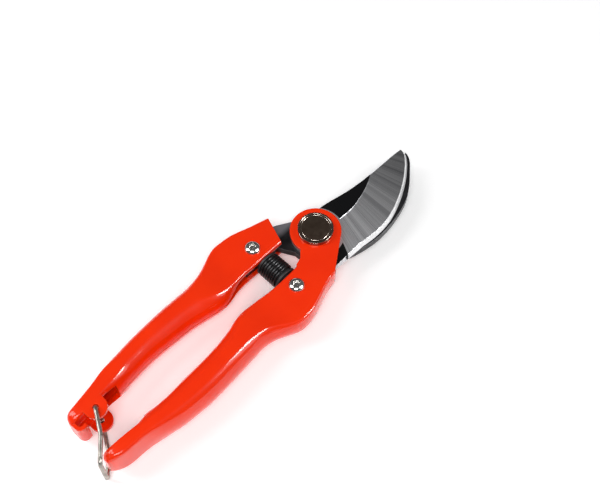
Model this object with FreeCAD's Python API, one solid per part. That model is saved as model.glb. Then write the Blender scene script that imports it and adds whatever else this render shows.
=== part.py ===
import FreeCAD, Part
import math
import os

V = FreeCAD.Vector

# A one-hand bypass pruner with pressed-steel handles, lying on its back.
# Frame, in millimetres: the origin is on the pivot axis, in the plane that the tool
# rests on. +X points to the blade tips, +Y to the handle that carries the hook (the
# left one) and +Z up, to the capped front of the pivot.

# ---------------------------------------------------------------- driving dimensions
HANDLE_REACH = 145.6        # pivot to the far end of a handle
GRIP_DEPTH = 18.0           # front to back over the grips
SHEET = 1.8                 # pressed steel of the handles
RIDGE_ROUND = 1.3           # how far the rounded press edge reaches in from each corner
LEFT_GRIP_ROUND = 3.1       # the same along the left grip, which is rounder to hold
RIGHT_GRIP_ROUND = 2.3
SEAM_GAP = 0.6              # slit where the two inner flanges of a grip meet
STATION_STEP = 5.0          # spacing of the cuts that the handles' skins are laid over
EDGE_ROLL = 0.2             # how far a plate's sheared inner edge rolls in
TIP_FLANGE = 0.6            # the same at the handles' open tips
PLATE_EDGE = 6.85           # half the distance between the two handles' plates at the spring

BLADE_THICKNESS = 3.0
BLADE_EDGE = 0.25           # thickness left at the cutting edge
BLADE_BEVEL = 1.5           # width of the ground bevel
TIP_BEVEL = 1.2             # the same where it runs out at the point
HOLLOW_DEPTH = 0.35         # how far the ground hollow lies below the blade's face
HOOK_THICKNESS = 4.0
TANG_FIT = 0.6              # room between a tang and the web of its handle
FACE_GAP = 0.03             # between faces that slide on each other at the pivot
THRUST_WASHER = 0.35

BOLT_D = 8.0
BOLT_HEAD_HEIGHT = 1.2
BUSH_WALL = 1.5
EAR_D = 25.0
DISC_SHOWS = 1.0            # how far the hook's round end shows past the ears
BAND_WIDTH = 1.7            # unground band of the blade round the ears
CAP_D = 17.3
CAP_HEIGHT = 2.3
CAP_WALL = 0.7
CAP_SKIRT = 1.65            # radial wall of the cap round the bolt's head
SPRING_WASHER = 1.2
NUT_TO_BOLT = 1.625         # across the nut's flats, as a multiple of the bolt's diameter

RUNNING_FIT = 0.05          # radial, between parts that turn on each other
ASSEMBLY_FIT = 0.03         # radial, between parts that are only put together

SCREW_D = 5.0
SCREW_HEAD_D = 7.6
SCREW_HEAD_HEIGHT = 2.0
SCREW_HOLE_FIT = 0.1
SCREW_NUT_ACROSS_FLATS = 8.0
SCREW_NUT_HEIGHT = 3.6
LEFT_SCREW = V(-28.2, 14.6, 0)
RIGHT_SCREW = V(-27.8, -14.4, 0)
SPACER_D = 11.0

SPRING_OD = 13.0
SPRING_WIRE = 1.3
SPRING_GAP = 0.1            # between neighbouring turns
SPRING_X = -27.0            # the spring's axis crosses the tool here
SEAT_FLANGE = 1.0
SEAT_STEM = 3.0
SEAT_FIT = 0.25

WIRE_D = 2.0                # the latch wire
WIRE_GAP = 0.3              # between the wire and what it lies against
WIRE_BEND = 2.2             # bend radius of the wire's middle line
LATCH_PIN_FIT = 0.35        # radial room of the wire's ends in the ears' holes
LATCH_EAR_R = 5.3
LATCH_WEB = 3.6             # from an ear's middle up into the handle's plate
LIP_SHORT = 2.6             # how far the lip stays below the grip's front and back
LATCH_ARM = 26.6            # hinge axis to the middle of the cross bar
LATCH_KINK = 1.4            # how far the legs bow aside half way along
LATCH_DIRECTION = -94.8     # where the legs point when the latch is hooked on, degrees
LATCH_SWUNG_OFF = 31.0      # how far it is swung clear of the right handle as modelled

# ------------------------------------------------------------------- derived heights
HEAD_GAP = BLADE_THICKNESS + HOOK_THICKNESS + 2 * THRUST_WASHER + 2 * FACE_GAP
HEAD_HALF = HEAD_GAP / 2 + SHEET
BUSH_OD = BOLT_D + 2 * BUSH_WALL
BOLT_HEAD_D = CAP_D - 2 * CAP_SKIRT
HOOK_DISC_R = EAR_D / 2 + DISC_SHOWS
HOLLOW_RADIUS = EAR_D / 2 + BAND_WIDTH
GRIP_HALF = GRIP_DEPTH / 2
MID_Z = GRIP_HALF + WIRE_GAP + WIRE_D
NUT_HEIGHT = MID_Z - HEAD_HALF - SPRING_WASHER

HOOK_BACK = MID_Z - HEAD_GAP / 2 + THRUST_WASHER + FACE_GAP
HOOK_FRONT = HOOK_BACK + HOOK_THICKNESS
BLADE_BACK = HOOK_FRONT + FACE_GAP
BLADE_FRONT = BLADE_BACK + BLADE_THICKNESS
EAR_INSIDE = MID_Z + HEAD_GAP / 2
EAR_FACE = MID_Z + HEAD_HALF
BACK_FACE = MID_Z - HEAD_HALF

# Where the grip's stretch starts and ends: the head and the tip keep their shape when
# the handles are made longer or shorter.
GRIP_START = -66.0
TIP_LENGTH = 25.6
GRIP_END = -(HANDLE_REACH - TIP_LENGTH)
TIP = -HANDLE_REACH
LATCH_HINGE = V(TIP + 12.6, 5.2, 0)
LATCH_HOLE_R = WIRE_D / 2 + LATCH_PIN_FIT

# ------------------------------------------------------------------------- helpers


def spline(points):
    """A smooth edge through plan points (x, y)."""
    curve = Part.BSplineCurve()
    curve.interpolate([V(x, y, 0) for x, y in points])
    return curve.toShape()


def line(a, b):
    return Part.LineSegment(V(a[0], a[1], 0), V(b[0], b[1], 0)).toShape()


def plate(edges, z_low, z_high):
    """A flat plate with the outline that the edges make, between two heights."""
    face = Part.Face(Part.Wire(Part.__sortEdges__(edges)))
    face.translate(V(0, 0, z_low))
    return face.extrude(V(0, 0, z_high - z_low))


def polygon(points, z_low, z_high):
    corners = [V(x, y, z_low) for x, y in points]
    face = Part.Face(Part.makePolygon(corners + corners[:1]))
    return face.extrude(V(0, 0, z_high - z_low))


def rod(radius, z_low, z_high, at=V(0, 0, 0)):
    return Part.makeCylinder(radius, z_high - z_low, V(at.x, at.y, z_low))


def ring(outer, inner, z_low, z_high, at=V(0, 0, 0)):
    return solid_of(rod(outer, z_low, z_high, at).cut(rod(inner, z_low - 1, z_high + 1, at)))


def hexagon(across_flats, z_low, z_high, at=V(0, 0, 0)):
    r = across_flats / math.sqrt(3)
    corners = [(at.x + r * math.cos(math.radians(60 * i)), at.y + r * math.sin(math.radians(60 * i)))
               for i in range(6)]
    return polygon(corners, z_low, z_high)


def solid_of(shape):
    """The one solid of a boolean's result."""
    shape = shape.removeSplitter()
    solids = sorted(shape.Solids, key=lambda s: s.Volume)
    return solids[-1]


# ------------------------------------------------------------------ pressed handles



def deep(share):
    """The half depth part of the way from the flat head to the full grip."""
    return HEAD_HALF + share * (GRIP_HALF - HEAD_HALF)


# Each station is a cut across the handle: x, the distances of the front face's inner
# and outer ridges from the X axis, the half depth, and how far the inner and outer
# sides bulge beyond those ridges at mid depth. Grip stations give x as a share of the
# grip, tip stations as a distance from the handle's end. The last number of a tip
# station is the share of the grip's rounding that is left there.
LEFT_HEAD = [
    (-6.0, 7.2, 20.1, HEAD_HALF, 0.2, 0.3),
    (-20.0, 7.2, 24.2, HEAD_HALF, 0.2, 0.3),
    (-33.0, 7.2, 27.8, HEAD_HALF, 0.2, 0.4),
    (-40.0, 7.3, 28.2, HEAD_HALF, 0.2, 0.6),
    (-46.0, 7.0, 26.4, deep(0.09), 0.7, 1.2),
    (-52.0, 6.8, 23.2, deep(0.36), 2.4, 2.0),
    (-58.0, 7.9, 20.7, deep(0.66), 4.2, 2.6),
]
LEFT_GRIP = [
    (0.0, 10.0, 19.5, 4.9, 2.6),
    (0.26, 11.9, 19.5, 4.9, 2.6),
    (0.54, 12.2, 18.9, 4.5, 2.6),
    (0.78, 11.0, 17.9, 3.9, 2.2),
    (1.0, 9.2, 16.6, 3.4, 1.2),
]
LEFT_TIP = [
    (17.6, 8.0, 14.8, GRIP_HALF, 0.6, 0.5, 0.0),
    (9.6, 7.2, 13.3, GRIP_HALF, 0.2, 0.4, 0.0),
    (4.6, 7.0, 12.6, GRIP_HALF - 0.2, 0.2, 0.3, 0.3),
    (1.4, 7.0, 10.8, GRIP_HALF - 1.4, 0.2, 0.3, 0.6),
    (0.0, 7.2, 9.2, GRIP_HALF - 3.4, 0.2, 0.2, 0.6),
]
RIGHT_HEAD = [
    (-9.5, 4.0, 22.0, HEAD_HALF, 0.2, 0.3),
    (-14.0, 5.0, 23.1, HEAD_HALF, 0.2, 0.3),
    (-20.0, 7.0, 24.8, HEAD_HALF, 0.2, 0.3),
    (-28.0, 7.5, 27.7, HEAD_HALF, 0.2, 0.3),
    (-34.0, 7.6, 29.0, HEAD_HALF, 0.2, 0.4),
    (-40.0, 7.4, 28.7, HEAD_HALF, 0.3, 0.7),
    (-46.0, 7.0, 25.6, deep(0.09), 0.9, 1.8),
    (-52.0, 7.4, 21.8, deep(0.36), 2.4, 3.2),
    (-58.0, 8.9, 20.1, deep(0.66), 3.8, 3.6),
]
RIGHT_GRIP = [
    (0.0, 11.7, 20.6, 4.5, 3.6),
    (0.26, 13.8, 21.7, 4.5, 3.6),
    (0.54, 14.6, 22.5, 4.5, 3.4),
    (0.78, 14.9, 22.1, 4.0, 2.8),
    (1.0, 14.6, 20.6, 4.4, 1.6),
]
RIGHT_TIP = [
    (17.6, 13.2, 19.7, GRIP_HALF, 0.5, 0.3, 0.4),
    (9.6, 12.7, 19.5, GRIP_HALF, 0.2, 0.2, 0.5),
    (4.6, 12.5, 18.6, GRIP_HALF - 0.3, 0.3, 0.2, 0.9),
    (1.6, 13.0, 17.4, GRIP_HALF - 1.4, 0.3, 0.2, 1.0),
    (0.1, 13.9, 16.5, GRIP_HALF - 3.4, 0.2, 0.2, 1.0),
]


# The left head is sheared off aslant along these points.
LEFT_SHEAR = [(-16.1, 7.2), (-22.0, -9.5), (20.0, -9.5), (20.0, 40.0), (-4.5, 40.0)]
# The necks that join the right handle's ears to its two plates.
RIGHT_NECK = [(8.2, -9.4), (-9.6, -22.0), (-20.0, -23.0), (-20.0, -6.6), (-16.2, -5.5), (-12.3, -1.8), (0.0, 0.0)]
GRIP_EASE = 0.3             # the grip's first station is this much short of full depth
FLANGE_START = -44.0        # the inner flanges grow from here
FLANGE_END = -58.0          # and meet at the seam here


def stations(head, grip, tip, grip_round):
    """All stations of a handle, with their x in the tool's frame and their edge's rounding."""
    softer = grip_round - RIDGE_ROUND
    rows = [(*row, RIDGE_ROUND) for row in head]
    for share, inner, outer, bulge_in, bulge_out in grip:
        x = GRIP_START + share * (GRIP_END - GRIP_START)
        half = GRIP_HALF - (GRIP_EASE if share == 0 else 0.0)
        # the last of the grip is already as sharp as the tip
        rounding = grip_round if share < 1 else RIDGE_ROUND + tip[0][-1] * softer
        rows.append((x, inner, outer, half, bulge_in, bulge_out, rounding))
    return rows + [(TIP + back, *rest, RIDGE_ROUND + share * softer) for back, *rest, share in tip]


def slopes(xs, ys):
    """Slopes at the points for a cubic that never overshoots them."""
    step = [(ys[i + 1] - ys[i]) / (xs[i + 1] - xs[i]) for i in range(len(xs) - 1)]
    inner = []
    for i in range(1, len(step)):
        before, after = xs[i] - xs[i - 1], xs[i + 1] - xs[i]
        if step[i - 1] * step[i] <= 0:
            inner.append(0.0)
            continue
        near, far = 2 * after + before, after + 2 * before
        inner.append((near + far) / (near / step[i - 1] + far / step[i]))
    return [step[0]] + inner + [step[-1]]


def value_at(xs, ys, ms, x):
    i = max(k for k in range(len(xs) - 1) if xs[k] <= x + 1e-9)
    width = xs[i + 1] - xs[i]
    t = (x - xs[i]) / width
    return ((2 * t**3 - 3 * t**2 + 1) * ys[i] + (t**3 - 2 * t**2 + t) * width * ms[i]
            + (3 * t**2 - 2 * t**3) * ys[i + 1] + (t**3 - t**2) * width * ms[i + 1])


def closer(rows):
    """The same handle at evenly spaced stations, about STATION_STEP apart."""
    rows = sorted(rows)
    xs = [row[0] for row in rows]
    count = round((xs[-1] - xs[0]) / STATION_STEP)
    places = [xs[0] + (xs[-1] - xs[0]) * i / count for i in range(count + 1)]
    columns = [[row[k] for row in rows] for k in range(1, len(rows[0]))]
    curves = [(column, slopes(xs, column)) for column in columns]
    return [(x, *(value_at(xs, column, slope, x) for column, slope in curves)) for x in places]


def side_arc(ridge, bulge, half, start_z):
    """Three points of the arc that bulges from a ridge at (ridge, +-half), cut at +-start_z."""
    radius = (half * half + bulge * bulge) / (2 * abs(bulge))
    centre = ridge + bulge - math.copysign(radius, bulge)
    reach = centre + math.copysign(math.sqrt(radius * radius - start_z * start_z), bulge)
    return (reach, start_z), (ridge + bulge, 0.0), (reach, -start_z)


def section(station, side, inset=0.0):
    """The closed outline of a handle at one station, drawn inset from its outer skin."""
    x, inner, outer, half, bulge_in, bulge_out, rounding = station
    inner, outer, half = inner + inset, outer - inset, half - inset
    corner = min(max(rounding - inset, 0.3), 0.4 * (outer - inner))

    def at(y, z):
        return V(x, side * y, MID_Z + z)

    def bend(a, ridge, b):
        curve = Part.BezierCurve()
        curve.setPoles([at(*a), at(*ridge), at(*b)])
        return curve.toShape()

    outer_top, outer_mid, outer_low = side_arc(outer, bulge_out, half, half - corner)
    inner_top, inner_mid, inner_low = side_arc(inner, -bulge_in, half, half - corner)
    edges = [
        Part.LineSegment(at(inner + corner, half), at(outer - corner, half)).toShape(),
        bend((outer - corner, half), (outer, half), outer_top),
        Part.Arc(at(*outer_top), at(*outer_mid), at(*outer_low)).toShape(),
        bend(outer_low, (outer, -half), (outer - corner, -half)),
        Part.LineSegment(at(outer - corner, -half), at(inner + corner, -half)).toShape(),
        bend((inner + corner, -half), (inner, -half), inner_low),
        Part.Arc(at(*inner_low), at(*inner_mid), at(*inner_top)).toShape(),
        bend(inner_top, (inner, half), (inner + corner, half)),
    ]
    return Part.Wire(edges)


def skin(rows, side, inset=0.0):
    return Part.makeLoft([section(row, side, inset) for row in closer(rows)], True, False)


def opening(side, head_end, open_to, depth_y):
    """The cut along a handle's inner side: wide at the head, a slit along the grip, wide
    again at the tip."""
    head, tip, slit = HEAD_GAP / 2 - EDGE_ROLL, GRIP_HALF - SHEET - TIP_FLANGE, SEAM_GAP / 2
    upper = [(head_end, head), (FLANGE_START, head), (FLANGE_END, slit), (GRIP_END, slit), (GRIP_END, tip),
             (open_to, tip)]
    lower = [(x, -z) for x, z in reversed(upper)]
    corners = [V(x, -side * 30.0, MID_Z + z) for x, z in upper + lower]
    face = Part.Face(Part.makePolygon(corners + corners[:1]))
    return face.extrude(V(0, side * (30.0 + depth_y), 0))


def pressed_shell(rows, side, closed_tip):
    """A handle bent from sheet: its outer skin less the hollow inside it. The hollow runs
    out of the head end, and stops a sheet's thickness short of a closed tip."""
    x, inner, outer, *rest = rows[0]
    hollow = [row for row in rows if row[0] > TIP + closed_tip]
    return skin(rows, side).cut(skin([(x + 4.0, inner, outer - 1.0, *rest)] + hollow, side, SHEET))


def left_handle():
    rows = stations(LEFT_HEAD, LEFT_GRIP, LEFT_TIP, LEFT_GRIP_ROUND)
    body = pressed_shell(rows, 1, SHEET - 0.5)
    body = body.cut(opening(1, 10.0, TIP + SHEET, 11.0))
    body = body.cut(polygon(LEFT_SHEAR, 0, 2 * MID_Z))
    # the two ears that hold the latch, and the lip that closes the handle's end
    for low, high in ((GRIP_HALF - SHEET, GRIP_HALF), (-GRIP_HALF, SHEET - GRIP_HALF)):
        ear = rod(LATCH_EAR_R, MID_Z + low, MID_Z + high, LATCH_HINGE)
        left, right, foot = LATCH_HINGE.x - LATCH_EAR_R, LATCH_HINGE.x + LATCH_EAR_R, LATCH_HINGE.y
        web = polygon([(left, foot), (right, foot), (right, foot + LATCH_WEB), (left, foot + LATCH_WEB)],
                      MID_Z + low, MID_Z + high)
        body = body.fuse(ear).fuse(web)
    body = body.fuse(end_lip())
    body = body.cut(rod(LATCH_HOLE_R, 0, 2 * MID_Z, LATCH_HINGE))
    body = body.cut(rod(SCREW_D / 2 + SCREW_HOLE_FIT, 0, 2 * MID_Z, LEFT_SCREW))
    return solid_of(body)


def end_lip():
    """The curled lip that closes the end of the left handle, down past its open side."""
    depth = GRIP_HALF - LIP_SHORT
    outer, inner = TIP + 0.1, TIP + 0.1 + SHEET
    root, turn, foot = 8.6, 5.4, 1.9
    lip_end, back = TIP + 5.2, foot + SHEET
    outline = [
        line((outer, root), (outer, turn)),
        Part.Arc(V(outer, turn, 0), V(outer + 0.9, foot + 0.9, 0), V(outer + 3.3, foot, 0)).toShape(),
        line((outer + 3.3, foot), (lip_end, foot + 0.3)),
        line((lip_end, foot + 0.3), (lip_end, back + 0.3)),
        line((lip_end, back + 0.3), (inner + 1.7, back)),
        Part.Arc(V(inner + 1.7, back, 0), V(inner + 0.5, back + 0.5, 0), V(inner, turn, 0)).toShape(),
        line((inner, turn), (inner, root)),
        line((inner, root), (outer, root)),
    ]
    return plate(outline, MID_Z - depth, MID_Z + depth)


def right_handle():
    rows = stations(RIGHT_HEAD, RIGHT_GRIP, RIGHT_TIP, RIGHT_GRIP_ROUND)
    body = pressed_shell(rows, -1, 3.2)
    body = body.cut(opening(-1, 10.0, TIP + 9.0, 14.0))
    # the ears over the pivot, with the necks that join them to the two plates
    for low, high in ((HEAD_GAP / 2, HEAD_HALF), (-HEAD_HALF, -HEAD_GAP / 2)):
        ear = rod(EAR_D / 2, MID_Z + low, MID_Z + high)
        body = body.fuse(ear).fuse(polygon(RIGHT_NECK, MID_Z + low, MID_Z + high))
    # the hook's round end and the thrust washers turn in here
    body = body.cut(rod(HOOK_DISC_R + TANG_FIT, EAR_INSIDE - HEAD_GAP, EAR_INSIDE))
    body = body.cut(rod(BOLT_D / 2 + ASSEMBLY_FIT, 0, 2 * MID_Z))
    body = body.cut(rod(SCREW_D / 2 + SCREW_HOLE_FIT, 0, 2 * MID_Z, RIGHT_SCREW))
    return solid_of(body)


# ------------------------------------------------------------------ blade and hook

CUTTING_EDGE = [(66.6, 3.1), (66.6, 0.9), (64.8, -2.0), (60.8, -5.8), (55.0, -10.1), (47.9, -14.3), (39.7, -18.0),
                (30.3, -20.8), (21.0, -21.5), (12.0, -20.7)]
SPINE = [(8.4, 8.4), (16.0, 7.6), (28.0, 5.2), (42.0, 3.9), (56.0, 3.6), (62.5, 3.4), (66.6, 3.1)]
HOLLOW_BACK = [(11.0, -3.4), (14.0, -3.0), (20.5, -3.2), (28.4, -2.1), (35.0, -0.2), (42.8, 3.4), (46.0, 6.0)]
PAST_TIP = 80.0             # the tool that grinds the face runs out past the tip
PAST_EDGE = -40.0           # and past the cutting edge
BLADE_TANG_END = -37.0
BLADE_TANG_INNER = -9.0
HOOK_OUTER = [(-7.0, -12.6), (-0.9, -17.0), (9.7, -20.8), (20.9, -22.4), (31.4, -21.7), (38.3, -20.4),
              (45.6, -18.1), (52.5, -14.4), (61.3, -7.3), (65.9, -2.8), (67.6, 1.2)]
HOOK_INNER = [(67.6, 1.2), (61.0, -1.4), (52.0, -6.4), (41.0, -10.8), (30.0, -13.0), (21.5, -12.8), (12.6, -8.6)]
HOOK_TANG_END = -38.0
HOOK_TANG_INNER = 9.0


def inside_of(points, distance):
    """Plan points moved sideways, to the right of the way they run."""
    moved = []
    for i, (x, y) in enumerate(points):
        a, b = points[max(i - 1, 0)], points[min(i + 1, len(points) - 1)]
        dx, dy = b[0] - a[0], b[1] - a[1]
        size = math.hypot(dx, dy)
        moved.append((x + distance * dy / size, y - distance * dx / size))
    return moved


def web_inside(rows, x, side):
    """How far out a tang may reach at x, inside the web of its handle."""
    for a, b in zip(rows, rows[1:]):
        if b[0] <= x <= a[0]:
            share = (x - a[0]) / (b[0] - a[0])
            return side * (a[2] + share * (b[2] - a[2]) - SHEET - TANG_FIT)
    raise ValueError(x)


def cutting_blade():
    bevel = [(CUTTING_EDGE[0][0] - TIP_BEVEL, CUTTING_EDGE[0][1])] + inside_of(CUTTING_EDGE, BLADE_BEVEL)[1:]
    tang = [
        (-10.5, web_inside(RIGHT_HEAD, -10.5, -1)), (-21.0, web_inside(RIGHT_HEAD, -21.0, -1)),
        (-30.0, web_inside(RIGHT_HEAD, -30.0, -1)), (BLADE_TANG_END, web_inside(RIGHT_HEAD, BLADE_TANG_END, -1)),
        (BLADE_TANG_END, BLADE_TANG_INNER), (-18.0, BLADE_TANG_INNER), (-11.2, -4.0),
    ]

    def outline(edge, spine, z):
        corners = [edge[-1]] + tang
        rim = Part.Arc(V(-11.2, -4.0, 0), V(-5.0, 10.9, 0), V(8.4, 8.4, 0)).toShape()
        edges = [line(a, b) for a, b in zip(corners, corners[1:])]
        wire = Part.Wire([spline(spine), spline(edge)] + edges + [rim])
        wire.translate(V(0, 0, z))
        return wire

    top_spine = SPINE[:-1] + [bevel[0]]
    full, ground = BLADE_BACK + BLADE_EDGE, BLADE_FRONT
    lower = Part.Face(outline(CUTTING_EDGE, SPINE, BLADE_BACK)).extrude(V(0, 0, BLADE_EDGE))
    upper = Part.makeLoft([outline(CUTTING_EDGE, SPINE, full), outline(bevel, top_spine, ground)], True, True)
    body = lower.fuse(upper)
    # the hollow-ground face, below the dark back of the blade
    (heel, _), (_, top) = HOLLOW_BACK[0], HOLLOW_BACK[-1]
    corners = [HOLLOW_BACK[-1], (PAST_TIP, top), (PAST_TIP, PAST_EDGE), (heel, PAST_EDGE), HOLLOW_BACK[0]]
    hollow = [spline(HOLLOW_BACK)] + [line(a, b) for a, b in zip(corners, corners[1:])]
    sunk = plate(hollow, BLADE_FRONT - HOLLOW_DEPTH, BLADE_FRONT + 1)
    body = body.cut(sunk.cut(rod(HOLLOW_RADIUS, 0, 2 * MID_Z)))
    body = body.cut(rod(BUSH_OD / 2 + ASSEMBLY_FIT, 0, 2 * MID_Z))
    body = body.cut(rod(SCREW_D / 2 + SCREW_HOLE_FIT, 0, 2 * MID_Z, RIGHT_SCREW))
    return solid_of(body)


def counter_blade():
    jaw = plate([spline(HOOK_OUTER), spline(HOOK_INNER), line(HOOK_INNER[-1], (0, 0)), line((0, 0), HOOK_OUTER[0])],
                HOOK_BACK, HOOK_FRONT)
    tang = polygon([
        (-1.0, HOOK_DISC_R - 0.5), (-9.0, 17.6), (-14.0, web_inside(LEFT_HEAD, -14.0, 1)),
        (-30.0, web_inside(LEFT_HEAD, -30.0, 1)), (HOOK_TANG_END, web_inside(LEFT_HEAD, HOOK_TANG_END, 1) - 0.4),
        (HOOK_TANG_END, HOOK_TANG_INNER), (-18.0, HOOK_TANG_INNER), (-13.2, 0.0), (0.0, 0.0),
    ], HOOK_BACK, HOOK_FRONT)
    body = jaw.fuse(tang).fuse(rod(HOOK_DISC_R, HOOK_BACK, HOOK_FRONT))
    body = body.cut(rod(BUSH_OD / 2 + RUNNING_FIT, 0, 2 * MID_Z))
    body = body.cut(rod(SCREW_D / 2 + SCREW_HOLE_FIT, 0, 2 * MID_Z, LEFT_SCREW))
    return solid_of(body)


# ------------------------------------------------------------------ pivot hardware


def pivot_bolt():
    head = rod(BOLT_HEAD_D / 2, EAR_FACE, EAR_FACE + BOLT_HEAD_HEIGHT)
    return solid_of(head.fuse(rod(BOLT_D / 2, 0, EAR_FACE)))


def pivot_cap():
    body = rod(CAP_D / 2, EAR_FACE, EAR_FACE + CAP_HEIGHT)
    rim = [e for e in body.Edges if len(e.Vertexes) == 1 and e.BoundBox.ZMin > EAR_FACE + CAP_HEIGHT - 0.01]
    body = body.makeChamfer(0.4, rim)
    hollow = rod(BOLT_HEAD_D / 2 + ASSEMBLY_FIT, EAR_FACE - 1, EAR_FACE + CAP_HEIGHT - CAP_WALL)
    return solid_of(body.cut(hollow))


def pivot_bush():
    return ring(BUSH_OD / 2, BOLT_D / 2 + ASSEMBLY_FIT, HOOK_BACK - FACE_GAP, BLADE_FRONT)


def front_thrust_washer():
    return ring(EAR_D / 2 - 2.0, BOLT_D / 2 + ASSEMBLY_FIT, BLADE_FRONT, EAR_INSIDE)


def back_thrust_washer():
    return ring(EAR_D / 2 - 1.0, BOLT_D / 2 + ASSEMBLY_FIT, EAR_INSIDE - HEAD_GAP, EAR_INSIDE - HEAD_GAP + THRUST_WASHER)


def pivot_spring_washer():
    """A split spring washer, pressed flat under the nut."""
    body = ring(BOLT_D / 2 + 3.2, BOLT_D / 2 + 0.15, BACK_FACE - SPRING_WASHER, BACK_FACE)
    split = Part.makeBox(0.9, 6.0, SPRING_WASHER + 2, V(-0.45, BOLT_D / 2 - 1, BACK_FACE - SPRING_WASHER - 1))
    return solid_of(body.cut(split))


def pivot_nut():
    top = BACK_FACE - SPRING_WASHER
    flats = NUT_TO_BOLT * BOLT_D
    body = hexagon(flats, top - NUT_HEIGHT, top)
    # the corners of the hexagon are turned down to a cone at the lower face
    cone = Part.makeCone(flats / 2 - 0.2, flats / 2 + NUT_HEIGHT, NUT_HEIGHT, V(0, 0, top - NUT_HEIGHT))
    return solid_of(body.common(cone).cut(rod(BOLT_D / 2 + ASSEMBLY_FIT, -1, 2 * MID_Z)))


# ------------------------------------------------------------------ handle screws


def handle_screw(at):
    """A button-head screw with a six-lobed socket."""
    chord, height = SCREW_HEAD_D / 2, SCREW_HEAD_HEIGHT
    radius = (chord * chord + height * height) / (2 * height)
    ball = Part.makeSphere(radius, V(at.x, at.y, EAR_FACE + height - radius))
    head = ball.common(rod(chord, EAR_FACE, EAR_FACE + height + 1, at))
    socket = rod(1.15, EAR_FACE + 0.6, EAR_FACE + height + 1, at)
    for i in range(6):
        lobe = at + V(1.2 * math.cos(math.radians(60 * i)), 1.2 * math.sin(math.radians(60 * i)), 0)
        socket = socket.fuse(rod(0.42, EAR_FACE + 0.6, EAR_FACE + height + 1, lobe))
    shank = rod(SCREW_D / 2, BACK_FACE - SCREW_NUT_HEIGHT - 0.5, EAR_FACE, at)
    return solid_of(head.cut(socket).fuse(shank))


def screw_nut(at):
    body = hexagon(SCREW_NUT_ACROSS_FLATS, BACK_FACE - SCREW_NUT_HEIGHT, BACK_FACE, at)
    return solid_of(body.cut(rod(SCREW_D / 2 + ASSEMBLY_FIT, 0, MID_Z, at)))


def tang_spacer(at, z_low, z_high):
    """The ring that fills the channel beside a tang, so that its screw can be pulled tight."""
    return ring(SPACER_D / 2, SCREW_D / 2 + SCREW_HOLE_FIT, z_low, z_high, at)


# ------------------------------------------------------------------ spring and seats


def spring_seat(side, tang_edge):
    """A plug with a flange that lies on the plates' edges, a stem in the coil's end and a
    stub that reaches in between the plates to the tang."""
    bore = SPRING_OD / 2 - SPRING_WIRE
    along = V(0, -side, 0)
    flange_back = V(SPRING_X, side * (PLATE_EDGE - SEAT_FIT), MID_Z)
    flange = Part.makeCylinder(SPRING_OD / 2 - 0.3, SEAT_FLANGE, flange_back, along)
    stem = Part.makeCylinder(bore - SEAT_FIT, SEAT_FLANGE + SEAT_STEM, flange_back, along)
    stub_length = abs(tang_edge) - SEAT_FIT - (PLATE_EDGE - SEAT_FIT)
    stub = Part.makeCylinder(HEAD_GAP / 2 - SEAT_FIT, stub_length + SEAT_FLANGE / 2,
                             flange_back + V(0, side * stub_length, 0), along)
    return solid_of(flange.fuse(stem).fuse(stub))


def compression_spring():
    low = PLATE_EDGE - SEAT_FIT - SEAT_FLANGE
    length = 2 * low - SPRING_WIRE - 0.1
    pitch = SPRING_WIRE + SPRING_GAP
    radius = (SPRING_OD - SPRING_WIRE) / 2
    helix = Part.makeHelix(pitch, length, radius)
    start = helix.Edges[0].valueAt(helix.Edges[0].FirstParameter)
    circle = Part.Wire([Part.makeCircle(SPRING_WIRE / 2, start, V(0, 1, pitch / (2 * math.pi * radius)))])
    coil = Part.Wire(helix.Edges).makePipeShell([circle], True, True)
    coil.rotate(V(0, 0, 0), V(1, 0, 0), 90)
    coil.translate(V(SPRING_X, length / 2, MID_Z))
    return coil


# ------------------------------------------------------------------ latch wire


def bent_path(points, bend):
    """Straight runs through the points, joined by tangent arcs."""
    edges, start = [], points[0]
    for before, here, after in zip(points, points[1:], points[2:]):
        a, b = (before - here).normalize(), (after - here).normalize()
        half = a.getAngle(b) / 2
        back = bend / math.tan(half)
        middle = (a + b).normalize() * (bend / math.sin(half) - bend)
        edges.append(Part.LineSegment(start, here + a * back).toShape())
        edges.append(Part.Arc(here + a * back, here + middle, here + b * back).toShape())
        start = here + b * back
    edges.append(Part.LineSegment(start, points[-1]).toShape())
    return Part.Wire(edges)


def latch_wire():
    """A stirrup of round wire: two legs over the two faces, joined by a cross bar, their
    ends turned in through the ears."""
    leg = GRIP_HALF + WIRE_GAP + WIRE_D / 2
    pin = GRIP_HALF - SHEET - 1.0
    half = [V(0, 0, pin), V(0, 0, leg), V(LATCH_ARM * 0.52, LATCH_KINK, leg), V(LATCH_ARM, 0, leg)]
    points = half + [V(p.x, p.y, -p.z) for p in reversed(half)]
    path = bent_path(points, WIRE_BEND)
    circle = Part.Wire([Part.makeCircle(WIRE_D / 2, points[0], V(0, 0, 1))])
    body = path.makePipeShell([circle], True, True)
    body.rotate(V(0, 0, 0), V(0, 0, 1), LATCH_DIRECTION - LATCH_SWUNG_OFF)
    body.translate(LATCH_HINGE + V(0, 0, MID_Z))
    return body


# ------------------------------------------------------------------ the whole tool

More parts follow.
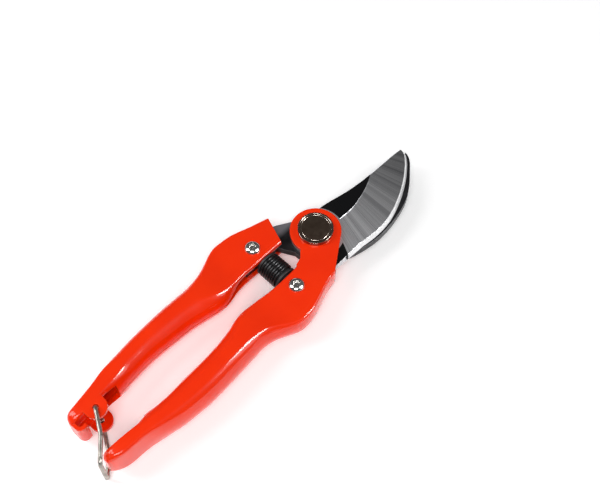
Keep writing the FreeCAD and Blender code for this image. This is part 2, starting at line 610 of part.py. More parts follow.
NODES = {
    "left_handle": left_handle(),
    "right_handle": right_handle(),
    "cutting_blade": cutting_blade(),
    "counter_blade": counter_blade(),
    "pivot_bolt": pivot_bolt(),
    "pivot_cap": pivot_cap(),
    "pivot_bush": pivot_bush(),
    "front_thrust_washer": front_thrust_washer(),
    "back_thrust_washer": back_thrust_washer(),
    "pivot_spring_washer": pivot_spring_washer(),
    "pivot_nut": pivot_nut(),
    "left_handle_screw": handle_screw(LEFT_SCREW),
    "right_handle_screw": handle_screw(RIGHT_SCREW),
    "left_screw_nut": screw_nut(LEFT_SCREW),
    "right_screw_nut": screw_nut(RIGHT_SCREW),
    "left_tang_spacer": tang_spacer(LEFT_SCREW, HOOK_FRONT, EAR_INSIDE),
    "right_tang_spacer": tang_spacer(RIGHT_SCREW, EAR_INSIDE - HEAD_GAP, BLADE_BACK),
    "left_spring_seat": spring_seat(1, HOOK_TANG_INNER),
    "right_spring_seat": spring_seat(-1, BLADE_TANG_INNER),
    "compression_spring": compression_spring(),
    "latch_wire": latch_wire(),
}

os.makedirs("parts", exist_ok=True)
for name, shape in NODES.items():
    shape.exportStep(f"parts/{name}.step")
    box = shape.BoundBox
    print(f"{name:22s} {shape.ShapeType:6s} valid {shape.isValid()} volume {shape.Volume:9.1f}"
          f"  x {box.XMin:7.1f}..{box.XMax:6.1f}  y {box.YMin:6.1f}..{box.YMax:6.1f}"
          f"  z {box.ZMin:5.2f}..{box.ZMax:5.2f}")
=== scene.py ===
# %% [markdown]
# # A one-hand bypass pruner
#
# The pruner lies on its back on a pale table, blades to the far right. Its two handles
# are pressed from sheet steel and enamelled red-orange. A bolt under a round cap joins
# them, a coil spring holds them open, and a wire loop at the far end holds them shut.
#
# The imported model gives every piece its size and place. This lesson adds what the eye
# looks for: finishes with grain, wear and gloss, and finer pieces where the plain ones
# are too simple, such as the spring, the cap and the two button-head screws.

# %% Load the frame
import math

import bmesh
import bpy
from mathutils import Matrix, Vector


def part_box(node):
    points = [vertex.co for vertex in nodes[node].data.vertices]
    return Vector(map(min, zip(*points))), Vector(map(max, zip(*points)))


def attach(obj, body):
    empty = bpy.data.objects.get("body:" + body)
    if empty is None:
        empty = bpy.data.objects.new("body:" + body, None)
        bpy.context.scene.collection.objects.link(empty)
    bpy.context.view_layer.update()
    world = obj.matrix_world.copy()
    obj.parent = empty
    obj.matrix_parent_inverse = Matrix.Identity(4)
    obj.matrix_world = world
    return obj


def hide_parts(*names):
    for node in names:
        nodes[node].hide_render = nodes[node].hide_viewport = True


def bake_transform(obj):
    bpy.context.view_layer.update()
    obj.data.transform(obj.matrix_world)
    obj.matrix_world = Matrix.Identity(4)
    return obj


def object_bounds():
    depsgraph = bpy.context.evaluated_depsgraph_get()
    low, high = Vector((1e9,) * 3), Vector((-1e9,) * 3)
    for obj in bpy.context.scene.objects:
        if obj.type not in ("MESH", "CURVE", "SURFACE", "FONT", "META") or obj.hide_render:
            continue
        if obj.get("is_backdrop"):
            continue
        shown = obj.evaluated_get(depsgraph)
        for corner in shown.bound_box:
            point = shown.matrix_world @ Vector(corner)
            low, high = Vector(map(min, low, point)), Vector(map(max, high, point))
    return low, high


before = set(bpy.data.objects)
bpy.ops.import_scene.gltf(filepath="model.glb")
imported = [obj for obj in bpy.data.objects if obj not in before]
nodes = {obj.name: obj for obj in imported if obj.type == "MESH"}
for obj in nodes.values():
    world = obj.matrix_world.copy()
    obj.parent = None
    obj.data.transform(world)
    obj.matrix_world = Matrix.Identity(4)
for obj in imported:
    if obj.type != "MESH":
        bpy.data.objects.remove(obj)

cad_low, cad_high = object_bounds()
MM = 0.001
print("pieces:", len(nodes), "size in mm:", [round(x / MM, 1) for x in cad_high - cad_low])

# %% [markdown]
# ## The camera
#
# The tool is seen from well above its lower left. A long lens keeps the far end of the
# tool from shrinking. The camera is turned with a quaternion that points its -Z axis at
# a spot near the pivot, with its Y axis as near to upright as it can be.

# %% Camera
LENS = 63.0
CAMERA_AT = Vector((-192.4, -176.6, 450.0)) * MM
LOOK_AT = Vector((-13.1, -2.3, 16.98)) * MM

camera_data = bpy.data.cameras.new("camera")
camera_data.lens = LENS
camera_data.clip_start = 0.01
camera = bpy.data.objects.new("camera", camera_data)
camera.location = CAMERA_AT
camera.rotation_euler = (LOOK_AT - CAMERA_AT).to_track_quat("-Z", "Y").to_euler()
bpy.context.scene.collection.objects.link(camera)
bpy.context.scene.camera = camera
print("camera is", round((LOOK_AT - CAMERA_AT).length, 3), "m from the pivot")

# %% [markdown]
# ## Table and light
#
# Glossy enamel shows whatever stands round it, so the lamps are large soft panels. A
# tall one at the left draws the long bright lines down the grips, a wide one overhead
# fills the steel, and a weak one at the right keeps the far side from going dark. A
# narrow strip draws the bright lines along the rounded edges: diffuse surfaces don't see
# it, so it adds glints and no light. The table glows a little, as paper on a light box.

# %% Table, sky and lamps
view = bpy.context.scene.view_settings
view.view_transform = "Standard"

world = bpy.data.worlds.new("white_room")
world.use_nodes = True
sky = world.node_tree.nodes["Background"]
sky.inputs["Color"].default_value = (1.0, 1.0, 1.0, 1.0)
sky.inputs["Strength"].default_value = 0.11
bpy.context.scene.world = world

bpy.ops.mesh.primitive_plane_add(size=6.0, location=(0.0, 0.0, cad_low.z - 0.0002))
table = bpy.context.object
table.name = "table"
table_paint = bpy.data.materials.new("table_paper")
table_paint.use_nodes = True
paper = table_paint.node_tree.nodes["Principled BSDF"]
paper.inputs["Base Color"].default_value = (0.94, 0.94, 0.94, 1.0)
paper.inputs["Roughness"].default_value = 0.9
paper.inputs["Emission Color"].default_value = (1.0, 1.0, 1.0, 1.0)
paper.inputs["Emission Strength"].default_value = 0.24
table.data.materials.append(table_paint)
table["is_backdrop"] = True


def lamp(name, at, aim, size, power):
    """A soft square lamp that faces a point."""
    data = bpy.data.lights.new(name, "AREA")
    data.shape = "RECTANGLE"
    data.size, data.size_y = size
    data.energy = power
    obj = bpy.data.objects.new(name, data)
    obj.location = at
    obj.rotation_euler = (Vector(aim) - Vector(at)).to_track_quat("-Z", "Y").to_euler()
    bpy.context.scene.collection.objects.link(obj)
    return obj


lamp("lamp_left", (-0.55, 0.60, 0.70), (-0.04, 0.0, 0.0), (0.30, 0.9), 5.8)
lamp("lamp_over", (-0.50, -0.35, 1.00), (0.0, 0.0, 0.0), (0.5, 0.5), 6.6)
lamp("lamp_right", (0.45, -0.60, 0.55), (0.0, 0.0, 0.0), (0.5, 0.5), 2.2)
glint = lamp("lamp_glint", (0.34, -0.50, 0.62), (-0.04, 0.0, 0.0), (0.14, 0.45), 6.5)
glint.visible_diffuse = False

# %% [markdown]
# ## Building blocks for the finishes
#
# Two effects come back in several finishes, so each is a node group of its own. The
# first softens sharp edges: a Bevel node bends the normal near an edge, and where the
# bent normal leaves the true one there is an edge, which gives a mask for worn paint,
# bright steel and a painted highlight along the edges. The second gives slow blotches of
# shade and gloss. The fine straight lines that a grinding wheel leaves are made in the
# blade's own finish.

# %% Helpers for node trees


def new_group(name, inputs, outputs):
    """A shader node group with number inputs and the named outputs."""
    tree = bpy.data.node_groups.new(name, "ShaderNodeTree")
    for label, value in inputs.items():
        sock = tree.interface.new_socket(label, in_out="INPUT", socket_type="NodeSocketFloat")
        sock.default_value = value
    for label, kind in outputs.items():
        tree.interface.new_socket(label, in_out="OUTPUT", socket_type=kind)
    return tree, tree.nodes.new("NodeGroupInput"), tree.nodes.new("NodeGroupOutput")


def node(tree, kind, links=None, **settings):
    """A node with its settings made and its inputs linked or set."""
    made = tree.nodes.new(kind)
    for key, value in settings.items():
        setattr(made, key, value)
    for key, value in (links or {}).items():
        if isinstance(value, bpy.types.NodeSocket):
            tree.links.new(value, made.inputs[key])
        else:
            made.inputs[key].default_value = value
    return made


def maths(tree, operation, a, b=0.0):
    return node(tree, "ShaderNodeMath", {0: a, 1: b}, operation=operation).outputs[0]


def between(tree, value, low, high, to_low=0.0, to_high=1.0):
    """A value carried from one range to another, and held at its ends."""
    made = node(tree, "ShaderNodeMapRange", {"Value": value, "From Min": low, "From Max": high,
                                             "To Min": to_low, "To Max": to_high})
    return made.outputs["Result"]


# %% Edge softening and edge mask
edges_tree, inp, out = new_group("soft_edges", {"Radius": 0.0004},
                                 {"Normal": "NodeSocketVector", "Edge": "NodeSocketFloat"})
bent = node(edges_tree, "ShaderNodeBevel", {"Radius": inp.outputs["Radius"]}, samples=6)
true = node(edges_tree, "ShaderNodeNewGeometry")
agree = node(edges_tree, "ShaderNodeVectorMath", {0: bent.outputs[0], 1: true.outputs["Normal"]},
             operation="DOT_PRODUCT")
edge = between(edges_tree, agree.outputs["Value"], 0.985, 0.86)
edges_tree.links.new(bent.outputs[0], out.inputs["Normal"])
edges_tree.links.new(edge, out.inputs["Edge"])
print("group", edges_tree.name, "with", len(edges_tree.nodes), "nodes")

# %% Blotches
blotch_tree, inp, out = new_group("blotches", {"Scale": 120.0, "Detail": 4.0, "Low": 0.0, "High": 1.0},
                                  {"Value": "NodeSocketFloat"})
place = node(blotch_tree, "ShaderNodeTexCoord")
cloud = node(blotch_tree, "ShaderNodeTexNoise", {"Vector": place.outputs["Object"],
                                                 "Scale": inp.outputs["Scale"],
                                                 "Detail": inp.outputs["Detail"]})
blotch_tree.links.new(between(blotch_tree, cloud.outputs["Fac"], 0.3, 0.7, inp.outputs["Low"],
                              inp.outputs["High"]), out.inputs["Value"])
print("group", blotch_tree.name, "with", len(blotch_tree.nodes), "nodes")

# %% [markdown]
# ## One way to make every finish
#
# Each finish starts as a Principled BSDF with its plain numbers on the shader's own
# sockets. Colour, roughness and bump then vary over the surface: colour by a blotch mask
# and by the edge mask, roughness by another blotch, and the bump by a fine noise whose
# size is that of the real grain.

# %% The finish maker


def finish_of(name, dark, light, edge_colour, rough, metal=0.0, coat=0.0, cloud_scale=120.0,
              edge_width=0.0004, edge_amount=0.5, bump_scale=900.0, bump_depth=0.00001, specular=0.5):
    """A material whose colour, roughness and bump vary over the surface."""
    made = bpy.data.materials.new(name)
    made.use_nodes = True
    tree = made.node_tree
    shader = tree.nodes["Principled BSDF"]
    shader.inputs["Metallic"].default_value = metal
    shader.inputs["Coat Weight"].default_value = coat
    shader.inputs["Coat Roughness"].default_value = 0.06
    shader.inputs["Specular IOR Level"].default_value = specular
    edges = node(tree, "ShaderNodeGroup", node_tree=edges_tree)
    edges.inputs["Radius"].default_value = edge_width
    shade = node(tree, "ShaderNodeGroup", node_tree=blotch_tree)
    shade.inputs["Scale"].default_value = cloud_scale
    gloss = node(tree, "ShaderNodeGroup", node_tree=blotch_tree)
    gloss.inputs["Scale"].default_value = cloud_scale * 2.7
    gloss.inputs["Low"].default_value, gloss.inputs["High"].default_value = rough
    colour = node(tree, "ShaderNodeMix", {0: shade.outputs["Value"], 6: (*dark, 1.0), 7: (*light, 1.0)},
                  data_type="RGBA")
    # edges take the edge colour: real wear on some finishes, a painted highlight along the edges on others
    edge_wear_and_glint = node(tree, "ShaderNodeMix", {0: maths(tree, "MULTIPLY", edges.outputs["Edge"], edge_amount),
                                        6: colour.outputs[2], 7: (*edge_colour, 1.0)}, data_type="RGBA")
    grain_at = node(tree, "ShaderNodeTexCoord")
    grain = node(tree, "ShaderNodeTexNoise", {"Vector": grain_at.outputs["Object"], "Scale": bump_scale,
                                              "Detail": 3.0})
    bump = node(tree, "ShaderNodeBump", {"Height": grain.outputs["Fac"], "Distance": bump_depth,
                                         "Strength": 1.0, "Normal": edges.outputs["Normal"]})
    tree.links.new(edge_wear_and_glint.outputs[2], shader.inputs["Base Color"])
    tree.links.new(gloss.outputs["Value"], shader.inputs["Roughness"])
    tree.links.new(bump.outputs[0], shader.inputs["Normal"])
    return made


def give(finish, *names):
    """Put a finish in the material slots of carried-over pieces."""
    for name in names:
        for slot in nodes[name].material_slots:
            slot.material = finish


# %% [markdown]
# ## Red-orange enamel
#
# The handles are dipped or sprayed and baked. The paint is glossy with a faint orange
# peel, and its sharp edges are painted a lighter orange as a painted highlight.
# A clear coat on the shader gives the hard glint over the softer colour below.

# %% Enamel
# the lighter orange edge colour is a painted highlight along the sheet's sharp edges
enamel = finish_of("red_enamel", (0.90, 0.026, 0.0003), (0.98, 0.034, 0.0005), (1.0, 0.09, 0.008),
                   (0.28, 0.38), coat=0.75, cloud_scale=40.0, edge_width=0.0006, edge_amount=0.5,
                   bump_scale=260.0, bump_depth=0.000010, specular=0.10)
give(enamel, "left_handle", "right_handle")

# %% [markdown]
# ## The small steel parts
#
# Nuts and washers are zinc plated, the bush is bronze, the thrust washers are nylon and
# the spring's seats are moulded. None of them is large, but each shows in some view, so
# each has its own finish with its own grain.

# %% Small finishes
zinc = finish_of("zinc_plate", (0.48, 0.49, 0.50), (0.66, 0.66, 0.64), (0.85, 0.85, 0.85), (0.26, 0.42),
                 metal=1.0, cloud_scale=300.0, bump_scale=2500.0, bump_depth=0.000008)
bronze = finish_of("bush_bronze", (0.42, 0.26, 0.11), (0.60, 0.41, 0.20), (0.8, 0.6, 0.35), (0.25, 0.4),
                   metal=1.0, cloud_scale=300.0, bump_scale=2500.0)
nylon = finish_of("natural_nylon", (0.70, 0.68, 0.62), (0.84, 0.82, 0.77), (0.9, 0.9, 0.88), (0.45, 0.6),
                  cloud_scale=250.0, bump_scale=1800.0)
moulded = finish_of("black_moulding", (0.012, 0.012, 0.013), (0.025, 0.025, 0.027), (0.06, 0.06, 0.06),
                    (0.4, 0.55), cloud_scale=250.0, bump_scale=2200.0, bump_depth=0.00002)
give(zinc, "pivot_bolt", "pivot_nut", "pivot_spring_washer", "left_screw_nut", "right_screw_nut",
     "left_tang_spacer", "right_tang_spacer")
give(bronze, "pivot_bush")
give(nylon, "front_thrust_washer", "back_thrust_washer")
give(moulded, "left_spring_seat", "right_spring_seat")

# %% Bright nickel, black steel and drawn wire
nickel = finish_of("bright_nickel", (0.66, 0.64, 0.61), (0.86, 0.85, 0.82), (1.0, 1.0, 1.0), (0.10, 0.22),
                   metal=1.0, cloud_scale=500.0, edge_width=0.00015, bump_scale=3000.0, bump_depth=0.000004)
black_steel = finish_of("black_steel", (0.012, 0.012, 0.014), (0.035, 0.035, 0.038), (0.30, 0.30, 0.31),
                        (0.28, 0.46), metal=0.6, cloud_scale=160.0, edge_width=0.00025, edge_amount=0.55,
                        bump_scale=1600.0, bump_depth=0.00001)
drawn_wire = finish_of("drawn_wire", (0.24, 0.22, 0.19), (0.50, 0.47, 0.43), (0.6, 0.58, 0.55), (0.25, 0.45),
                       metal=1.0, cloud_scale=380.0, bump_scale=1500.0, bump_depth=0.00002)
give(black_steel, "counter_blade")
give(drawn_wire, "latch_wire")

# %% [markdown]
# ## The hook's grey tang with a painted sheen
#
# The hook is blackened. Its tang, which shows between the left handle and the pivot, is
# painted grey: partly the tang's own grey steel, partly a painted sheen where the light
# falls on it. The same finish is used, and a mask along the tool's width mixes the grey in.

# %% Hook finish
tree = black_steel.node_tree
shader = tree.nodes["Principled BSDF"]
worn_black = shader.inputs["Base Color"].links[0].from_socket
place = node(tree, "ShaderNodeTexCoord")
across = node(tree, "ShaderNodeSeparateXYZ", {0: place.outputs["Object"]})
# the tang is painted grey: partly its own steel, partly a painted sheen where the light falls on it
tang_sheen_mask = between(tree, across.outputs["Y"], 11.0 * MM, 14.0 * MM)
tang_grey_and_sheen = node(tree, "ShaderNodeMix", {0: tang_sheen_mask, 6: worn_black, 7: (0.30, 0.30, 0.33, 1.0)}, data_type="RGBA")
tree.links.new(tang_grey_and_sheen.outputs[2], shader.inputs["Base Color"])

# %% [markdown]
# ## The ground blade
#
# The blade is blackened all over and then ground. Its hollow face keeps the fine lines
# of the wheel, which fan across it, and is painted darker toward the tip as a painted
# reflection that is brightest at the heel. The narrow bevel along the cutting edge is
# polished, and painted near-white as a painted highlight, and the raised back stays black.
# Height and slope tell these apart: the hollow lies a third of a millimetre below the back,
# and only the bevel leans. At the heel the ground finish runs on past the step, up to a
# slanting line that is only painted.

# %% Blade finish
blade_low, blade_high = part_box("cutting_blade")
BACK_STEP = 0.18 * MM
BAND_RADIUS = 14.2 * MM
BEVEL_HEEL = 3.0 * MM
HEEL_AT_EDGE = (2.7 * MM, -18.3 * MM)
HEEL_SLANT = 0.5
FACE_TOP = -3.2 * MM

ground = bpy.data.materials.new("ground_blade")
ground.use_nodes = True
tree = ground.node_tree
shader = tree.nodes["Principled BSDF"]
edges = node(tree, "ShaderNodeGroup", node_tree=edges_tree)
edges.inputs["Radius"].default_value = 0.0002
place = node(tree, "ShaderNodeTexCoord")
xyz = node(tree, "ShaderNodeSeparateXYZ", {0: place.outputs["Object"]})
lean = node(tree, "ShaderNodeSeparateXYZ", {0: node(tree, "ShaderNodeNewGeometry").outputs["Normal"]})
raised = maths(tree, "GREATER_THAN", xyz.outputs["Z"], blade_high.z - BACK_STEP)
flat = maths(tree, "GREATER_THAN", lean.outputs["Z"], 0.9)
leaning = maths(tree, "MULTIPLY", maths(tree, "GREATER_THAN", lean.outputs["Z"], 0.25),
                maths(tree, "LESS_THAN", lean.outputs["Z"], 0.9))
past_heel = maths(tree, "GREATER_THAN", xyz.outputs["X"], BEVEL_HEEL)
sloped = maths(tree, "MULTIPLY", leaning, past_heel)
away = node(tree, "ShaderNodeVectorMath", {0: node(tree, "ShaderNodeCombineXYZ", {
    "X": xyz.outputs["X"], "Y": xyz.outputs["Y"]}).outputs[0]}, operation="LENGTH").outputs["Value"]
beyond_band = maths(tree, "GREATER_THAN", away, BAND_RADIUS)
raised_back = maths(tree, "MULTIPLY", maths(tree, "MULTIPLY", raised, flat), beyond_band)
heel_bevel = maths(tree, "MULTIPLY", leaning, maths(tree, "SUBTRACT", 1.0, past_heel))
# the ground finish starts on a slanting line, a little behind the step in the steel
above_edge = maths(tree, "SUBTRACT", xyz.outputs["Y"], HEEL_AT_EDGE[1])
heel_line = maths(tree, "ADD", maths(tree, "MULTIPLY", above_edge, HEEL_SLANT), HEEL_AT_EDGE[0])
beside_step = maths(tree, "MULTIPLY", maths(tree, "GREATER_THAN", xyz.outputs["X"], heel_line),
                    maths(tree, "LESS_THAN", xyz.outputs["Y"], FACE_TOP))
black_back = maths(tree, "MULTIPLY", maths(tree, "MAXIMUM", raised_back, heel_bevel),
                   maths(tree, "SUBTRACT", 1.0, beside_step))

FAN_CENTRE = (34.0 * MM, 60.0 * MM)
angle = node(tree, "ShaderNodeMath", {0: maths(tree, "SUBTRACT", xyz.outputs["X"], FAN_CENTRE[0]),
                                      1: maths(tree, "SUBTRACT", FAN_CENTRE[1], xyz.outputs["Y"])},
             operation="ARCTAN2").outputs[0]
fine = node(tree, "ShaderNodeTexNoise", {"W": maths(tree, "MULTIPLY", angle, 240.0), "Scale": 1.0,
                                         "Detail": 5.0, "Roughness": 0.7}, noise_dimensions="1D")
broad = node(tree, "ShaderNodeTexNoise", {"W": maths(tree, "MULTIPLY", angle, 18.0), "Scale": 1.0,
                                          "Detail": 2.0}, noise_dimensions="1D")
steel = node(tree, "ShaderNodeMix", {0: between(tree, maths(tree, "ADD", fine.outputs["Fac"],
                                                            broad.outputs["Fac"]), 0.75, 1.25),
                                     6: (0.42, 0.42, 0.44, 1.0), 7: (0.92, 0.92, 0.94, 1.0)},
             data_type="RGBA")
# painted reflection: the ground steel is painted darker toward the tip, brightest at the heel
painted_sheen_falloff = between(tree, xyz.outputs["X"], 14.0 * MM, 60.0 * MM, 1.0, 0.38)
steel_with_painted_sheen = node(tree, "ShaderNodeVectorMath", {0: steel.outputs[2], "Scale": painted_sheen_falloff}, operation="SCALE")
# the polished bevel is painted near-white and made less metallic below: a painted highlight
bright = node(tree, "ShaderNodeMix", {0: sloped, 6: steel_with_painted_sheen.outputs[0], 7: (0.95, 0.95, 0.96, 1.0)},
              data_type="RGBA")
painted = node(tree, "ShaderNodeMix", {0: black_back, 6: bright.outputs[2], 7: (0.018, 0.018, 0.020, 1.0)},
               data_type="RGBA")
gloss = node(tree, "ShaderNodeMix", {0: sloped, 2: between(tree, fine.outputs["Fac"], 0.3, 0.7, 0.26, 0.44),
                                     3: 0.16}, data_type="FLOAT")
bump = node(tree, "ShaderNodeBump", {"Height": fine.outputs["Fac"], "Distance": 0.000006, "Strength": 1.0,
                                     "Normal": edges.outputs["Normal"]})
tree.links.new(painted.outputs[2], shader.inputs["Base Color"])
tree.links.new(between(tree, sloped, 0.0, 1.0, 0.85, 0.25), shader.inputs["Metallic"])
tree.links.new(gloss.outputs[0], shader.inputs["Roughness"])
tree.links.new(bump.outputs[0], shader.inputs["Normal"])
give(ground, "cutting_blade")
print("blade finish has", len(tree.nodes), "nodes")

# %% [markdown]
# ## Working in edit mode
#
# A new piece starts from a primitive and is shaped by the same operators as by hand. An
# operator acts on what is selected, so two helpers do that: one opens a piece with
# nothing selected, and one selects the faces that pass a test on their middle and normal.

# %% Edit-mode helpers


def alone(obj):
    """Make a piece the only selected one, in object mode."""
    if bpy.context.object and bpy.context.object.mode != "OBJECT":
        bpy.ops.object.mode_set(mode="OBJECT")
    bpy.ops.object.select_all(action="DESELECT")
    obj.select_set(True)
    bpy.context.view_layer.objects.active = obj
    return obj


def edit(obj, kind="FACE"):
    """Open a piece in edit mode with nothing selected."""
    alone(obj)
    bpy.ops.object.mode_set(mode="EDIT")
    bpy.ops.mesh.select_mode(type=kind)
    bpy.ops.mesh.select_all(action="DESELECT")


def pick(test, kind="faces"):
    """Select the parts of the open piece that pass a test, and say how many."""
    mesh = bmesh.from_edit_mesh(bpy.context.object.data)
    count = 0
    for part in getattr(mesh, kind):
        part.select_set(False)
    for part in getattr(mesh, kind):
        if test(part):
            part.select_set(True)
            count += 1
    mesh.select_flush_mode()
    bmesh.update_edit_mesh(bpy.context.object.data)
    return count


def move(x=0.0, y=0.0, z=0.0):
    bpy.ops.transform.translate(value=(x, y, z))


def shut(obj, name, body, finish, bevel=0.0, smooth=35.0):
    """Leave edit mode, bevel and smooth the piece, put its place in its mesh and let it ride."""
    bpy.ops.object.mode_set(mode="OBJECT")
    obj.name = name
    obj.data.name = name
    bpy.ops.object.transform_apply(location=True, rotation=True, scale=True)
    if bevel:
        round_off = obj.modifiers.new("round_off", "BEVEL")
        round_off.width = bevel
        round_off.segments = 2
        round_off.limit_method = "ANGLE"
        round_off.angle_limit = math.radians(40.0)
        bpy.ops.object.modifier_apply(modifier=round_off.name)
    bpy.ops.object.shade_smooth_by_angle(angle=math.radians(smooth))
    obj.data.materials.clear()
    obj.data.materials.append(finish)
    if body:
        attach(obj, body)
    print(name, "has", len(obj.data.polygons), "faces")
    return obj


# %% [markdown]
# ## The pivot cap
#
# A round cap hides the bolt's head. It is pressed from sheet, polished and plated dark
# nickel, with a rim and a face sunk a little below it. Its brown tone is partly the
# nickel's own and partly a painted reflection, and its edges are painted near-white as a
# painted highlight. It could be turned with spin, but a cylinder whose end faces are
# inset and pushed up and down is quicker and gives the same rings. Its face carries one
# plain turned ring.

# %% Pivot cap
CAP_WALL = 1.62 * MM
CAP_SHEET = 0.7 * MM
RIM_WIDTH = 0.30 * MM
RIM_SLOPE = 0.35 * MM
FACE_SUNK = 0.22 * MM
TURNED_RING = ((0.9, -0.07), (0.20, 0.07))

cap_low, cap_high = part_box("pivot_cap")
cap_radius = (cap_high.x - cap_low.x) / 2
cap_height = cap_high.z - cap_low.z
bpy.ops.object.select_all(action="DESELECT")
bpy.ops.mesh.primitive_cylinder_add(vertices=96, radius=cap_radius, depth=cap_height,
                                    location=(0.0, 0.0, cap_low.z + cap_height / 2))
cap = bpy.context.object
edit(cap)
pick(lambda f: f.normal.z < -0.9)
bpy.ops.mesh.inset(thickness=CAP_WALL)
bpy.ops.mesh.extrude_region_move(TRANSFORM_OT_translate={"value": (0.0, 0.0, cap_height - CAP_SHEET)})
pick(lambda f: f.normal.z > 0.9 and len(f.verts) > 90)
bpy.ops.mesh.inset(thickness=RIM_WIDTH)
bpy.ops.mesh.inset(thickness=RIM_SLOPE)
bpy.ops.mesh.extrude_region_move(TRANSFORM_OT_translate={"value": (0.0, 0.0, -FACE_SUNK)})
for ring_at, drop in TURNED_RING:
    bpy.ops.mesh.inset(thickness=ring_at * MM)
    bpy.ops.mesh.extrude_region_move(TRANSFORM_OT_translate={"value": (0.0, 0.0, drop * MM)})
# brown tone: partly the dark nickel's own, partly a painted reflection; the near-white edge colour is a
# painted highlight
dark_nickel = finish_of("dark_nickel", (0.240, 0.165, 0.120), (0.340, 0.245, 0.185), (0.88, 0.84, 0.78),
                        (0.10, 0.22), metal=1.0, cloud_scale=260.0, edge_width=0.00022, edge_amount=0.9,
                        bump_scale=2500.0, bump_depth=0.000002)
shut(cap, "cap_with_rings", "right_handle_body", dark_nickel, bevel=0.08 * MM)
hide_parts("pivot_cap")

# %% [markdown]
# ## The two button-head screws
#
# Each handle is drawn tight on its blade by a nickel-plated screw with a low domed head
# and a six-lobed socket. A disc is inset again and again, and each time its middle is
# lifted a little less, which makes the dome. The last ring is squeezed at six places
# and pushed down to make the socket. The plain shank below reaches the nut.

# %% Button-head screws
DOME = ((0.45, 0.62), (0.50, 0.36), (0.55, 0.24), (0.60, 0.13))
HEAD_EDGE = 0.45 * MM
LOBES = 6
LOBE_STEPS = 8
ROUND_ABOUT = LOBES * LOBE_STEPS
LOBE_SQUEEZE = ((0.74, (0,)), (0.82, (-1, 1)), (0.94, (-2, 2)))
SOCKET_LAND = 0.12 * MM
SOCKET_DEPTH = 1.15 * MM
SHANK_RADIUS = 2.5 * MM


def button_screw(old, name, body):
    low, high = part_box(old)
    centre = (low + high) / 2
    radius = (high.x - low.x) / 2
    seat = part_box("pivot_cap")[0].z
    bpy.ops.object.select_all(action="DESELECT")
    bpy.ops.mesh.primitive_circle_add(vertices=ROUND_ABOUT, radius=radius, fill_type="NGON",
                                      location=(centre.x, centre.y, seat))
    screw = bpy.context.object
    bpy.ops.object.transform_apply(location=True)
    edit(screw)
    bpy.ops.mesh.select_all(action="SELECT")
    bpy.ops.mesh.normals_make_consistent(inside=False)
    # the shank goes down from a small disc in the middle of the underside
    bpy.ops.mesh.extrude_region_move(TRANSFORM_OT_translate={"value": (0.0, 0.0, HEAD_EDGE)})
    top = seat + HEAD_EDGE
    for reach, rise in DOME:
        pick(lambda f: len(f.verts) == ROUND_ABOUT and abs(f.calc_center_median().z - top) < 1e-6)
        bpy.ops.mesh.inset(thickness=reach * MM)
        move(z=rise * MM)
        top += rise * MM
    pick(lambda f: len(f.verts) == ROUND_ABOUT and abs(f.calc_center_median().z - top) < 1e-6)
    bpy.ops.mesh.inset(thickness=SOCKET_LAND)
    for squeeze, offsets in LOBE_SQUEEZE:
        step = 2 * math.pi / ROUND_ABOUT
        pick(lambda f: len(f.verts) == ROUND_ABOUT and abs(f.calc_center_median().z - top) < 1e-6)
        mesh = bmesh.from_edit_mesh(screw.data)
        ring_points = [v for f in mesh.faces if f.select for v in f.verts]
        bpy.ops.mesh.select_mode(type="VERT")
        bpy.ops.mesh.select_all(action="DESELECT")
        for v in ring_points:
            place_round = round((math.atan2(v.co.y - centre.y, v.co.x - centre.x)) / step)
            away_from_valley = (place_round + LOBE_STEPS // 2) % LOBE_STEPS - LOBE_STEPS // 2
            if away_from_valley in offsets:
                v.select_set(True)
        bmesh.update_edit_mesh(screw.data)
        bpy.ops.transform.resize(value=(squeeze, squeeze, 1.0), center_override=(centre.x, centre.y, top))
        bpy.ops.mesh.select_mode(type="FACE")
    pick(lambda f: len(f.verts) == ROUND_ABOUT and abs(f.calc_center_median().z - top) < 1e-6)
    bpy.ops.mesh.extrude_region_move(TRANSFORM_OT_translate={"value": (0.0, 0.0, -SOCKET_DEPTH)})
    pick(lambda f: len(f.verts) == ROUND_ABOUT and abs(f.calc_center_median().z - seat) < 1e-6)
    bpy.ops.mesh.inset(thickness=radius - SHANK_RADIUS)
    bpy.ops.mesh.extrude_region_move(TRANSFORM_OT_translate={"value": (0.0, 0.0, low.z - seat)})
    bpy.ops.mesh.select_all(action="SELECT")
    bpy.ops.mesh.normals_make_consistent(inside=False)
    shut(screw, name, body, nickel, bevel=0.06 * MM, smooth=40.0)
    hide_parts(old)
    summit = max(v.co.z for v in screw.data.vertices)
    print(name, "rises to", round(summit / MM, 2), "of", round(high.z / MM, 2))
    return screw


button_screw("left_handle_screw", "left_button_screw", "left_handle_body")
button_screw("right_handle_screw", "right_button_screw", "right_handle_body")
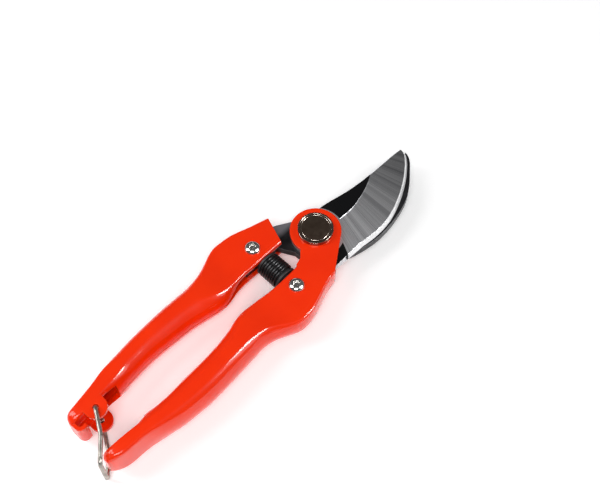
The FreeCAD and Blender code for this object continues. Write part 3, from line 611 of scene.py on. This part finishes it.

# %% [markdown]
# ## The spring
#
# The spring is wound from round wire with its turns nearly touching. One ring of wire
# section, carried round and along by the Screw modifier, winds all of it at once. Its two
# ends sit in the handles' seats, so when the handles open the coil has to lengthen.

# %% Coil spring
spring_low, spring_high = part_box("compression_spring")
WIRE = 1.3 * MM
spring_middle = (spring_low + spring_high) / 2
coil_radius = (spring_high.z - spring_low.z - WIRE) / 2
coil_length = spring_high.y - spring_low.y - WIRE
turns = round(coil_length / (WIRE * 1.077))
bpy.ops.object.select_all(action="DESELECT")
bpy.ops.mesh.primitive_circle_add(vertices=14, radius=WIRE / 2, fill_type="NOTHING",
                                  location=(coil_radius, 0.0, 0.0), rotation=(math.pi / 2, 0.0, 0.0))
spring = alone(bpy.context.object)
bpy.ops.object.transform_apply(location=True, rotation=True, scale=True)
wind = spring.modifiers.new("wind", "SCREW")
wind.axis = "Z"
wind.angle = 2 * math.pi * turns
wind.screw_offset = coil_length
wind.steps = wind.render_steps = 36 * turns
wind.use_merge_vertices = False
bpy.ops.object.modifier_apply(modifier=wind.name)
edit(spring, "EDGE")
bpy.ops.mesh.select_non_manifold()
bpy.ops.mesh.edge_face_add()
bpy.ops.mesh.select_all(action="SELECT")
bpy.ops.mesh.normals_make_consistent(inside=False)
bpy.ops.transform.rotate(value=math.pi / 2, orient_axis="X", center_override=(0.0, 0.0, 0.0))
coil_ys = [v.co.y for v in bmesh.from_edit_mesh(spring.data).verts]
move(x=spring_middle.x, y=spring_middle.y - (min(coil_ys) + max(coil_ys)) / 2, z=spring_middle.z)
spring_black = finish_of("spring_black", (0.010, 0.010, 0.011), (0.030, 0.030, 0.032), (0.2, 0.2, 0.2),
                         (0.16, 0.30), metal=0.5, cloud_scale=400.0, edge_width=0.0001, bump_scale=2600.0,
                         bump_depth=0.000006)
shut(spring, "spring_coil", None, spring_black, smooth=60.0)
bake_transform(spring)
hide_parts("compression_spring")

# %% [markdown]
# ## Check the size
#
# The finished model has to fill the same box as the imported one. How far its box
# reaches past the imported one on each side, in millimetres, is printed.

# %% Size
bpy.ops.object.select_all(action="DESELECT")
now_low, now_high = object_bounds()
grown = list(cad_low - now_low) + list(now_high - cad_high)
print("grown by, mm:", [round(x / MM, 2) for x in grown])
